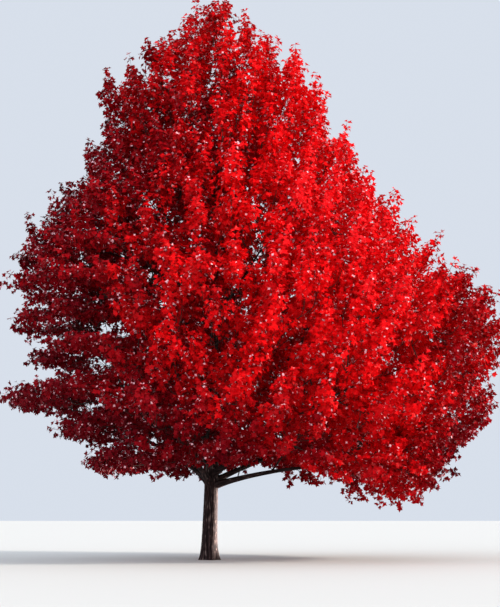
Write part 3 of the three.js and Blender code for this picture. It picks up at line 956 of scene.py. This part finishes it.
join_paths = np.zeros((TUFTS, JOIN_STEPS + 1, 3))
join_radii = np.zeros((TUFTS, JOIN_STEPS + 1))
stem_radii = np.zeros((MASSES, STEM_RINGS))
limb_radii = np.zeros((len(limb_paths), SIDE_LIMB_RINGS))
limb_feeds = np.zeros(len(limb_paths), bool)
for mass in range(MASSES):
    order, paths, numbers, fed = grown_limbs(mass, np.nonzero(tuft_mass == mass)[0])
    join_paths[order] = paths
    join_radii[order] = thickness(fed[numbers])
    join_radii[order, 0] = join_radii[order, 1]
    stem_radii[mass] = thickness(fed[BARE_RINGS:CARRIER_RINGS])
    own = np.nonzero(limb_mass == mass)[0]
    grid = CARRIER_RINGS + np.arange(len(own) * (SIDE_LIMB_RINGS - 1)).reshape(len(own), -1)
    limb_radii[own, 1:] = thickness(fed[grid])
    limb_radii[own, 0] = limb_radii[own, 1]
    limb_feeds[own] = fed[grid].max(1) > 0
print("thickest stem", round(2000 * stem_radii.max()), "mm, longest join",
      np.linalg.norm(join_paths[:, -1] - join_paths[:, 0], axis=1).max().round(2), "m")

# %% [markdown]
# ## Sprays of a tuft
#
# A tuft repeats the rule once more: its own axis bends up towards the light, and sprays leave it in
# the same golden spiral, long near its foot and short near its tip, so that the whole has the shape of
# a flame. One more spray follows the axis to its end. Where a tuft lies level its sprays are pressed
# flat, most of all in the tiers.

# %% Sprays in a spiral
SIDE_SPRAYS = 4
FIRST_SPRAY = 0.12
LAST_SPRAY = 0.52
SPRAY_ANGLE = 0.5
SPRAY_ANGLE_RANGE = (0.75, 1.25)
SPRAY_STRAYING = 0.25
SPRAY_LIFT = 0.1
SPRAY_LONG = 0.6
SPRAY_SHORT = 0.36
SPRAY_LENGTH_RANGE = (0.85, 1.15)
END_SPRAY = 0.5
FLAT_SHARE = (0.4, 0.8)
FLAT_TO_STEEP = (0.15, 0.6)
AXIS_BEND = 0.06
LOOK_AHEAD = 0.02


def curved_axis(foot, tip, share):
    """Points at shares (m) of a curve from foot to tip whose middle hangs below the straight line."""
    length = np.linalg.norm(tip - foot, axis=1)[:, None]
    middle = (foot + tip) / 2 - UP * AXIS_BEND * length
    return bezier(np.stack([foot, middle, tip], 1), share)


def tuft_sprays():
    """Feet, tips and tufts of the sprays: the spiral's headings, its lengths, and one to each end."""
    share = np.linspace(FIRST_SPRAY, LAST_SPRAY, SIDE_SPRAYS)
    foot = curved_axis(tuft_feet, tuft_tips, share)
    along = unit(curved_axis(tuft_feet, tuft_tips, share + LOOK_AHEAD) - foot)
    spin = np.arange(SIDE_SPRAYS) * GOLDEN_ANGLE + chance.random((TUFTS, 1)) * FULL_TURN
    spin = spin + chance.normal(0, SPRAY_STRAYING, (TUFTS, SIDE_SPRAYS))
    sideways = turned(level_side(along), along, spin)
    flatness = mix(*FLAT_SHARE, tier_share(tuft_tips)) * (1 - smooth(*FLAT_TO_STEEP, tuft_heading[:, 2]))
    sideways = unit(sideways * (1 - UP * flatness[:, None, None]))
    angle = SPRAY_ANGLE * chance.uniform(*SPRAY_ANGLE_RANGE, (TUFTS, SIDE_SPRAYS, 1))
    heading = unit(along * np.cos(angle) + sideways * np.sin(angle) + UP * SPRAY_LIFT)
    length = mix(SPRAY_LONG, SPRAY_SHORT, np.linspace(0, 1, SIDE_SPRAYS))[:, None]
    length = length * chance.uniform(*SPRAY_LENGTH_RANGE, (TUFTS, SIDE_SPRAYS, 1))
    tip = foot + heading * (length * tuft_growth[:, None, None])
    last_foot = curved_axis(tuft_feet, tuft_tips, [1 - END_SPRAY])
    feet_all = np.concatenate([foot, last_foot], 1).reshape(-1, 3)
    tips_all = np.concatenate([tip, tuft_tips[:, None]], 1).reshape(-1, 3)
    return feet_all, tips_all, np.repeat(np.arange(TUFTS), SIDE_SPRAYS + 1)


feet, tips, spray_tuft = tuft_sprays()
SPRAYS = len(tips)
print("sprays", SPRAYS, "mean length", np.linalg.norm(tips - feet, axis=1).mean().round(2), "m")

# %% [markdown]
# ## Wood inside the masses
#
# Stems, side limbs, the tufts' limbs and the axes of the sprays are all made by the same
# ring-along-a-path. A tuft's limb runs on as the tuft's own axis, so one limb goes from its fork to
# its last bud. The finer the wood, the fewer sides it needs. Its young bark is nearly smooth.

# %% Meshes of the inner wood
AXIS_STEPS = 4
FINE_RADIUS = 0.0032
TIP_RADIUS = 0.0012
STEM_LEAST = 0.004
STEM_END_SHARE = 0.3
LIMB_MOST = 0.014
STEM_SIDES = 10
LIMB_SIDES = 7
TUFT_SIDES = 4
TWIG_SIDES = 3
TWIG_RINGS = 3

axis_share = np.arange(1, AXIS_STEPS + 1) / AXIS_STEPS
tuft_paths = np.concatenate([join_paths, curved_axis(tuft_feet, tuft_tips, axis_share)], 1)
axis_radii = np.tile(mix(TUFT_RADIUS, TIP_RADIUS, axis_share), (TUFTS, 1))
tuft_radii = np.concatenate([np.minimum(join_radii, LIMB_MOST), axis_radii], 1)
stem_radii[:-1, 0] = bough_foot_radius() * BOUGH_TAPER
stem_radii[-1, 0] = LEADER_TIP_RADIUS
stem_radii = np.maximum(stem_radii, STEM_LEAST)
stem_radii = np.minimum(stem_radii, stem_radii[:, :1] * np.linspace(1, STEM_END_SHARE, STEM_RINGS))
side_paths = curved_axis(feet, tips, np.linspace(0, 1, TWIG_RINGS))
side_radii = np.tile(np.linspace(FINE_RADIUS, TIP_RADIUS, TWIG_RINGS), (SPRAYS, 1))
wood = joined([
    limbs_along(stems, stem_radii, STEM_SIDES),
    limbs_along(limb_paths[limb_feeds], np.minimum(limb_radii, LIMB_MOST)[limb_feeds], LIMB_SIDES),
    limbs_along(tuft_paths, tuft_radii, TUFT_SIDES),
])
limbs = triangle_mesh("limbs_bark", *wood, young_painted_shade_bark, True, np.full(len(wood[0]), SMOOTH_RELIEF))
wood = limbs_along(side_paths, side_radii, TWIG_SIDES)
twigs = triangle_mesh("twigs_bark", *wood, young_painted_shade_bark, True, np.full(len(wood[0]), SMOOTH_RELIEF))

# %% [markdown]
# ## Side shoots
#
# Maples put out their buds in opposite pairs, each pair at right angles to the one before. Along each
# spray's axis, pairs of side shoots follow that habit: the longest are a third of the way up, and they
# shorten to the tip, which is what gives a spray its plume shape. A shoot is a closed three-sided
# spike of four triangles, enough for something four millimetres thick.

# %% Shoots in crossed pairs
SHOOT_PAIRS = 4
SHOOT_FIRST = 0.12
SHOOT_LAST = 0.82
SHOOT_LENGTH = 0.15
SHOOT_LEAST = 0.05
SHOOT_LENGTH_RANGE = (0.75, 1.2)
SHOOT_ANGLE = 0.85
SHOOT_STRAYING = 0.2
SHOOT_LIFT = 0.12
SHORTENING_POWER = 0.8
LOWEST_SHOOT = 0.6
LONGEST_AT = 0.3
SHOOT_LOOK_AHEAD = 0.05

shoot_share = np.linspace(SHOOT_FIRST, SHOOT_LAST, SHOOT_PAIRS)
axis_place = curved_axis(feet, tips, shoot_share)
axis_along = unit(curved_axis(feet, tips, shoot_share + SHOOT_LOOK_AHEAD) - axis_place)
roll = chance.random(SPRAYS)[:, None] * math.pi + np.arange(SHOOT_PAIRS) * math.pi / 2
roll = roll[..., None] + np.array([0, math.pi]) + chance.normal(0, SHOOT_STRAYING, (SPRAYS, SHOOT_PAIRS, 2))
shoot_side = turned(level_side(axis_along)[:, :, None], axis_along[:, :, None], roll)
shoot_heading = unit(axis_along[:, :, None] * math.cos(SHOOT_ANGLE) + shoot_side * math.sin(SHOOT_ANGLE)
                     + UP * SHOOT_LIFT)
plume = (1 - shoot_share) ** SHORTENING_POWER * mix(LOWEST_SHOOT, 1, smooth(0, LONGEST_AT, shoot_share))
shoot_length = (SHOOT_LEAST + (SHOOT_LENGTH - SHOOT_LEAST) * plume)[None, :, None]
shoot_length = shoot_length * chance.uniform(*SHOOT_LENGTH_RANGE, (SPRAYS, SHOOT_PAIRS, 2))
shoot_length = shoot_length * tuft_growth[spray_tuft][:, None, None]
shoot_feet = np.broadcast_to(axis_place[:, :, None], shoot_heading.shape).reshape(-1, 3)
shoot_ends = shoot_feet + (shoot_heading * shoot_length[..., None]).reshape(-1, 3)
print("shoots", shoot_length.size, "mean length", round(1000 * shoot_length.mean()), "mm")

# %% Shoot mesh
SHOOT_RADIUS = 0.002
SHOOT_SIDES = 3


def spikes(feet_points, end_points, radius):
    """A closed three-sided spike for each pair of points: three corners round the foot and one at the end."""
    along = unit(end_points - feet_points)
    ring = turned(level_side(along)[:, None], along[:, None], evenly_round(SHOOT_SIDES)) * radius
    corners = np.concatenate([feet_points[:, None] + ring, end_points[:, None]], 1)
    return repeated(corners, limb_triangles(1, SHOOT_SIDES))


wood = spikes(shoot_feet, shoot_ends, SHOOT_RADIUS)
shoots = triangle_mesh("shoots_bark", *wood, young_painted_shade_bark, False, np.full(len(wood[0]), SMOOTH_RELIEF))
for piece in (limbs, twigs, shoots):
    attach(piece, "root")
    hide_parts(*mass_nodes)

# %% [markdown]
# ## Leaves
#
# A red maple's leaf has three main lobes and is 60 to 120 mm long with its stalk. It is folded a
# little along its midrib and droops at the tip. Leaves sit in opposite pairs along the shoots, each
# pair crossed with the last, with one at the very end. Some have already fallen on the shaded side.

# %% Places of the leaves
LEAF_SPACING = 0.05
SHOOT_NODES = 2
AXIS_NODES = 5
AXIS_NODE_STEP = 0.15
PAIR_STRAYING = 0.35
END_ROOM = 0.01
FOOT_ROOM = 0.015
FALLEN_SHARE = 0.25


def crossed_pairs(foot, along, side, distances, spray):
    """Two leaves at each distance along a shoot, on opposite sides, each pair a quarter turn on."""
    place = foot[:, None] + along[:, None] * distances[..., None]
    steps = np.arange(distances.shape[1])
    angle = steps * math.pi / 2 + chance.normal(0, PAIR_STRAYING, (len(foot), len(steps)))
    one = turned(side[:, None], along[:, None], angle)
    place = np.stack([place, place], 2)
    out = np.stack([one, -one], 2)
    axis = np.broadcast_to(along[:, None, None], out.shape)
    return place, out, axis, np.broadcast_to(spray[:, None, None], out.shape[:-1])


def leaf_places():
    """Pairs along the shoots and the axes, one at every end, less the fallen: place, side, axis and spray."""
    along = unit(shoot_ends - shoot_feet)
    side = level_side(along)
    spray = np.repeat(np.arange(SPRAYS), SHOOT_PAIRS * 2)
    distances = shoot_length.reshape(-1, 1) - END_ROOM - np.arange(SHOOT_NODES) * LEAF_SPACING
    on_shoots = crossed_pairs(shoot_feet, along, side, distances, spray)
    room = np.broadcast_to((distances > FOOT_ROOM)[..., None], on_shoots[3].shape)
    parts = [[group[room] for group in on_shoots], [shoot_ends, side, along, spray]]
    share = 1 - np.arange(AXIS_NODES) * AXIS_NODE_STEP
    place = curved_axis(feet, tips, share)
    step = unit(place - curved_axis(feet, tips, share - SHOOT_LOOK_AHEAD)).reshape(-1, 3)
    flat_side = level_side(step)
    number = np.repeat(np.arange(SPRAYS), AXIS_NODES)
    on_axes = crossed_pairs(place.reshape(-1, 3), step, flat_side, np.zeros((len(step), 1)), number)
    parts.append([group.reshape(-1, 3) if group.ndim == 4 else group.ravel() for group in on_axes])
    last = slice(None, None, AXIS_NODES)
    parts.append([tips, flat_side[last], step[last], np.arange(SPRAYS)])
    columns = [np.concatenate(column) for column in zip(*parts)]
    kept = chance.random(len(columns[0])) > FALLEN_SHARE * tier_share(columns[0])
    return [column[kept] for column in columns]


leaf_foot, leaf_side, leaf_axis, leaf_spray = leaf_places()
LEAVES = len(leaf_foot)
print("leaves", LEAVES, "in a spray", round(LEAVES / SPRAYS))

# %% [markdown]
# ## Turning each leaf to the light
#
# A leaf here is four triangles in its own outline, which narrows to its stalk on the shoot. The faces
# turn outwards from their tuft and up to the light, each with some chance. That makes a tuft light on
# one side and dark on the other. One leaf in seven is turned over and shows a pale pinkish back. That
# back is partly real, as a red maple's leaves are pale beneath, and partly painted glints: the leaves
# are so many, so pale and drawn at half size that they read as small highlights.

# %% Outline and facing of the leaves
LEAF_LENGTH = 0.088
LEAF_LENGTH_SPREAD = 0.25
# So many turned leaves, pale pink and half size, are painted glints as well as real pale undersides.
TURNED_BACK_AND_GLINT_SHARE = 0.14
TURNED_BACK_AND_GLINT_SIZE = 0.5
STALK_ALONG = 0.6
STALK_ASIDE = 0.8
STALK_UP = 0.1
STALK_HOLD = 0.9
LEAF_STRAYING = 0.25
DROOP = 0.4
FACE_OUT = 0.8
FACE_UP = 0.5
FACE_CHANCE = 0.42
ONWARD = (-0.9, 0.1)
# The outline of a leaf in shares of its length: stalk end, tip, then side lobe and notch on either side.
OUTLINE_ALONG = np.array([0.0, 1.0, 0.58, 0.66, 0.58, 0.66])
OUTLINE_ACROSS = np.array([0.0, 0.0, 0.46, 0.17, -0.46, -0.17])
BLADE = np.array([[0, 3, 2], [0, 1, 3], [0, 5, 1], [0, 4, 5]])
FOLD = 0.25
CURL = 0.2


def tuft_outward():
    """From each leaf's tuft axis straight out through the leaf, and onwards towards the tuft's tip."""
    tuft = spray_tuft[leaf_spray]
    away = leaf_foot - tuft_tips[tuft]
    heading = tuft_heading[tuft]
    passed = np.sum(away * heading, axis=1, keepdims=True)
    return unit(unit(away - heading * passed) + heading * smooth(*ONWARD, passed))


def leaf_corners():
    """Each leaf's outline in its own frame: along the blade, across it, and raised by the fold and curl."""
    stalk_way = unit(leaf_axis * STALK_ALONG + leaf_side * STALK_ASIDE + UP * STALK_UP)
    length = LEAF_LENGTH * (1 + LEAF_LENGTH_SPREAD * chance.uniform(-1, 1, LEAVES))[:, None]
    # Turned leaves are drawn at half size, so that their pale backs read as painted glints.
    length = length * (np.where(turned_back_and_glint, TURNED_BACK_AND_GLINT_SIZE, 1) * tuft_growth[spray_tuft[leaf_spray]])[:, None]
    facing = unit(tuft_outward() * FACE_OUT + UP * FACE_UP + chance.normal(0, FACE_CHANCE, (LEAVES, 3)))
    straying = chance.normal(0, LEAF_STRAYING, (LEAVES, 3))
    along = square_to(unit(stalk_way * STALK_HOLD + straying - UP * DROOP), facing)
    across = np.cross(facing, along)
    raised = FOLD * np.abs(OUTLINE_ACROSS) - CURL * OUTLINE_ALONG ** 2
    return (leaf_foot[:, None]
            + along[:, None] * (OUTLINE_ALONG[:, None] * length[:, None])
            + across[:, None] * (OUTLINE_ACROSS[:, None] * length[:, None])
            + facing[:, None] * (raised[:, None] * length[:, None]))


# Leaves dealt the pale back: partly a real pale underside, partly a painted glint.
turned_back_and_glint = chance.random(LEAVES) < TURNED_BACK_AND_GLINT_SHARE
leaf_points = leaf_corners()
print("corners a leaf", leaf_points.shape[1], "triangles a leaf", len(BLADE))

# %% [markdown]
# ## Autumn tints, with painted light and shade
#
# In sun the leaves turn scarlet, in shade they stay crimson or go to a dark maroon, and neighbours on
# one twig turn together. So each spray takes one tint: sprays are ranked by how much they face the sun
# side, how high they stand and how deep inside, and by chance for whole boughs, tufts and sprays. The
# far right and the lowest leaves are ranked down. The ranks are partly the real autumn colour and partly
# painted light and shade: bright tints on the sunlit side and up high paint the light there, and dark
# tints on the shaded left, deep inside, on the far right and low down paint the shade there. The ranks
# are cut into seven tints, and an eighth is the pale back, partly real and partly painted glints. The
# leaves are a thin skin over colour, so the finish is a plain colour under a faint gloss. Each tint is
# its own piece.

# %% Leaf finishes
# Waxy autumn leaf skin, grown, never polished: the eye sees a deep even red with small soft glints.
# The dark tints, dealt to shaded places, also stand for painted shade, and the bright ones, dealt to sunlit
# places, for painted light.
TINTS = [
    ("maroon", "#700613", 0.12),
    ("dark_crimson", "#880512", 0.15),
    ("crimson", "#9C0511", 0.16),
    ("blood_red", "#B4060F", 0.17),
    ("bright_red", "#D00810", 0.18),
    ("scarlet", "#E80B12", 0.17),
    ("vivid_red", "#F2161E", 0.05),
]
# The pale pinkish white is partly the leaf's real underside and partly a painted glint.
TURNED_BACK_AND_GLINT_TINT = ("pale_underside_and_painted_glint", "#F4BAC4")
LEAF_ROUGHNESS = 0.34
LEAF_IOR = 1.45
LEAF_GLOSS = 0.06


def leaf_finish(name, colour):
    """A plain tint under a faint gloss, on the shader's own sockets."""
    material = new_material("waxy autumn maple leaf, " + name.replace("_", " "))
    shader = add_node(material, "ShaderNodeBsdfPrincipled", inputs={
        "Base Color": linear(colour), "Roughness": LEAF_ROUGHNESS, "IOR": LEAF_IOR,
        "Specular IOR Level": LEAF_GLOSS})
    add_node(material, "ShaderNodeOutputMaterial", links={"Surface": (shader, "BSDF")})
    return material


finishes = [leaf_finish(name, colour) for name, colour, *_ in [*TINTS, TURNED_BACK_AND_GLINT_TINT]]
print("leaf finishes", len(finishes))

# %% Dealing out the tints
SUN_TURN = 0.25
SUN_REACH = 3
SUN_TINT_AND_PAINTED_LIGHT = 1.9
HEIGHT_TINT_AND_PAINTED_LIGHT = 0.8
INNER_TINT_AND_PAINTED_SHADE = 0.35
FAR_PAINTED_SHADE = 2.1
FAR_RIGHT = (3.0, 4.5)
LOW_PAINTED_SHADE = 1.7
LOW_DOWN = (1.3, 3.4)
TUFT_SPREAD = 0.24
SPRAY_SPREAD = 0.2
BOUGH_SPREAD = 0.3


def deal_tints_and_painted_light():
    """Ranks the sprays by sun, height, depth and chance, partly painted light and shade, and cuts the ranks
    into the tints' shares.
    """
    azimuth, distance = round_trunk(tips)
    sunward = np.cos(azimuth + SUN_TURN) * np.clip(distance / SUN_REACH, 0, 1)
    # Sun and height raise the rank as painted light; depth, the far right and low places lower it as painted
    # shade, on top of the real autumn colouring.
    score = SUN_TINT_AND_PAINTED_LIGHT * sunward + HEIGHT_TINT_AND_PAINTED_LIGHT * tips[:, 2] / HEIGHT
    score -= INNER_TINT_AND_PAINTED_SHADE * (spray_tuft >= OUTER_TUFTS)
    score -= FAR_PAINTED_SHADE * smooth(*FAR_RIGHT, tips[:, 0]) + LOW_PAINTED_SHADE * (1 - smooth(*LOW_DOWN, tips[:, 2]))
    score += chance.normal(0, TUFT_SPREAD, TUFTS)[spray_tuft] + chance.normal(0, SPRAY_SPREAD, SPRAYS)
    score += chance.normal(0, BOUGH_SPREAD, MASSES)[tuft_mass[spray_tuft]]
    rank = score.argsort().argsort() / SPRAYS
    edges = np.cumsum([share for _, _, share in TINTS])
    return np.minimum(np.searchsorted(edges, rank, side="right"), len(TINTS) - 1)


leaf_tint_and_painted_light = deal_tints_and_painted_light()[leaf_spray]
leaf_tint_and_painted_light[turned_back_and_glint] = len(TINTS)
for number, (name, *_) in enumerate([*TINTS, TURNED_BACK_AND_GLINT_TINT]):
    blades = repeated(leaf_points[leaf_tint_and_painted_light == number], BLADE)
    leaves = triangle_mesh("leaves_" + name, *blades, finishes[number], False)
    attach(leaves, "root")
    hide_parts(*mass_nodes)

# %% [markdown]
# ## Floor, light and camera
#
# The tree stands on a plain pale floor under a pale sky dome. A soft key light stands on the right and
# a little in front, as the sun does in the picture. A weaker one low on the right reaches in under the
# leaves, and a very broad one fills in from the left. The trunk's right edge is lit from under the
# crown, by a small lamp behind it that stands low, so that it leaves no bright pool on the floor. The
# camera is low and far away, and looks up a little, as the photographer did.

# %% Floor
FLOOR_RADIUS = 400
FLOOR_SIDES = 64

floor_mesh = bpy.data.meshes.new("floor")
rim = leaning(evenly_round(FLOOR_SIDES), np.zeros(FLOOR_SIDES)) * FLOOR_RADIUS
floor_mesh.from_pydata(rim.tolist(), [], [list(range(FLOOR_SIDES))])
floor = bpy.data.objects.new("floor", floor_mesh)
bpy.context.scene.collection.objects.link(floor)
paper = new_material("pale matt studio floor")
matt = add_node(paper, "ShaderNodeBsdfPrincipled", inputs={"Base Color": linear("#DDDDDA"), "Roughness": 0.9})
add_node(paper, "ShaderNodeOutputMaterial", links={"Surface": (matt, "BSDF")})
floor_mesh.materials.append(paper)
print("floor", 2 * FLOOR_RADIUS, "m across")

# %% Lights
# The far lights: name, the direction that the light comes from, strength, spread in degrees, and colour.
FAR_LIGHTS = [
    ("key_light", (0.96, -0.4, 0.6), 2.65, 12, "#FFF4E6"),
    ("low_light", (1.0, 0.12, 0.06), 1.6, 6, "#FFEAD2"),
    ("fill_light", (-0.85, -0.9, 0.3), 1.45, 80, "#F2F6FF"),
]
LAMP_PLACE = Vector((2.75, 1.4, 0.2))
LAMP_AIM = Vector((0, 0, 0.68))
LAMP_WATTS = 6500
LAMP_CONE = 23
LAMP_BLEND = 0.4
LAMP_RADIUS = 0.15


def light(name, kind, strength, colour, source):
    """A light of a kind that is turned to shine from the direction of its source."""
    lamp = bpy.data.lights.new(name, kind)
    lamp.energy = strength
    lamp.color = linear(colour)[:3]
    holder = bpy.data.objects.new(name, lamp)
    holder.rotation_euler = source.to_track_quat("Z", "Y").to_euler()
    bpy.context.scene.collection.objects.link(holder)
    return holder


for name, source, strength, spread, colour in FAR_LIGHTS:
    light(name, "SUN", strength, colour, Vector(source)).data.angle = math.radians(spread)
trunk_light = light("trunk_light", "SPOT", LAMP_WATTS, "#FFF2E8", LAMP_PLACE - LAMP_AIM)
trunk_light.location = LAMP_PLACE
trunk_light.visible_camera = False
trunk_light.data.spot_size = math.radians(LAMP_CONE)
trunk_light.data.spot_blend = LAMP_BLEND
trunk_light.data.shadow_soft_size = LAMP_RADIUS
print("lights", len(FAR_LIGHTS) + 1)

# %% Sky
SKY_STRENGTH = 0.9

world = bpy.data.worlds.new("pale_sky")
world.use_nodes = True
sky = world.node_tree.nodes["Background"]
sky.inputs["Color"].default_value = linear("#E2EAF6")
sky.inputs["Strength"].default_value = SKY_STRENGTH
bpy.context.scene.world = world
bpy.context.scene.view_settings.view_transform = "Standard"
print("sky strength", SKY_STRENGTH)

# %% Camera
CAMERA_PLACE = (0.69, -24, 0.69)
CAMERA_PITCH = 98.735
FOCAL_MM = 83.0
SENSOR_MM = 36
FURTHEST_VIEW = 2000

lens = bpy.data.cameras.new("camera")
lens.lens = FOCAL_MM
lens.sensor_width = SENSOR_MM
lens.clip_end = FURTHEST_VIEW
camera = bpy.data.objects.new("camera", lens)
bpy.context.scene.collection.objects.link(camera)
camera.location = CAMERA_PLACE
camera.rotation_euler = (math.radians(CAMERA_PITCH), 0, 0)
bpy.context.scene.camera = camera
print("camera looks up by", round(CAMERA_PITCH - 90, 1), "degrees")
